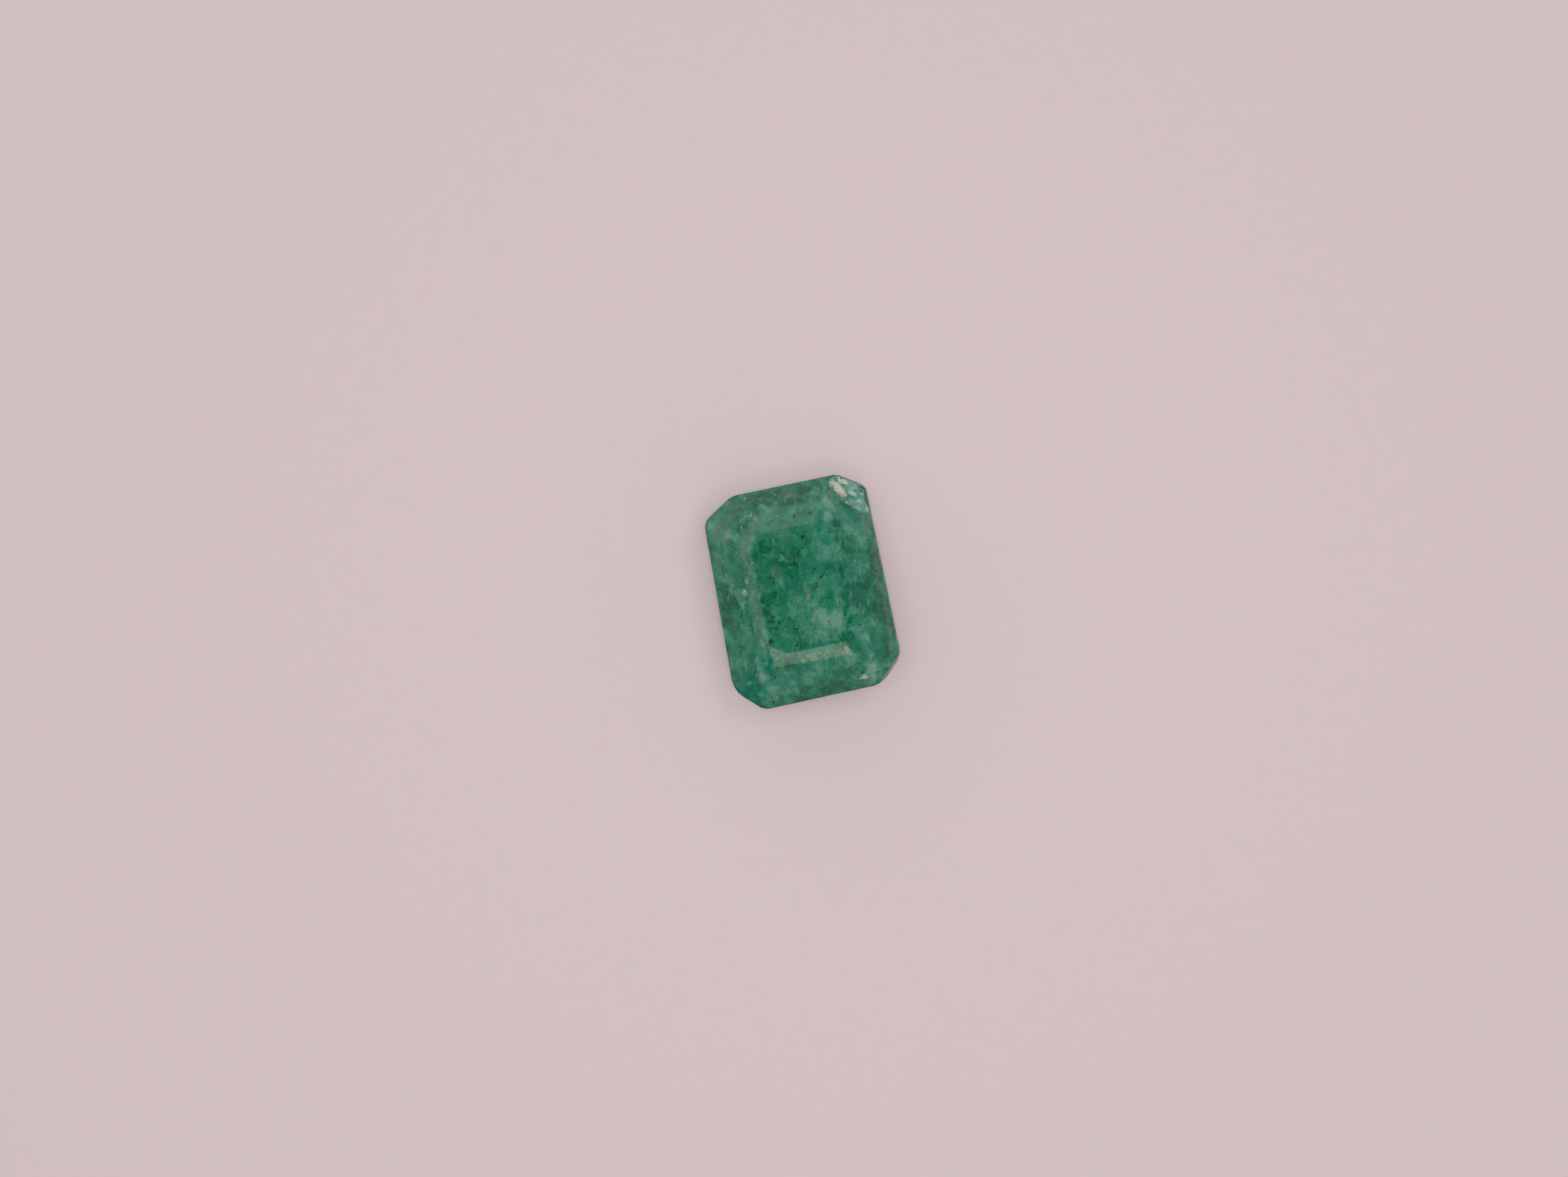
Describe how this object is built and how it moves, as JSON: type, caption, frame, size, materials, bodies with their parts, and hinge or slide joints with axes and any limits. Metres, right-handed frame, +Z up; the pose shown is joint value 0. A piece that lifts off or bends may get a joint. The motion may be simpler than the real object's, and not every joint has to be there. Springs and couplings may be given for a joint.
{
  "type": "cut emerald gemstone",
  "caption": "Loose cut emerald in an octagonal step cut, heavily clouded inside, with a broken crown corner; it rests on its flat culet, table up.",
  "frame": {"origin": "middle of the stone seen from above, on the plane of the flat culet that it rests on", "axes": "+X across the stone, +Y along its longer side towards the broken corner's end, +Z up through the table"},
  "size_m": [0.0072, 0.009, 0.0043],
  "materials": {
    "emerald": "Polished mossy green stone, see-through for a millimetre or two, with milky clouds; the broken corner is duller.",
    "mineral_grain": "Grains, flakes and threads of tan, brown and black mineral sealed in the stone.",
    "veil": "Milky grey-green clouds, healed cracks and pale fracture flakes sealed in the stone."
  },
  "bodies": {
    "root": {"emerald": "emerald"}
  },
  "joints": []
}
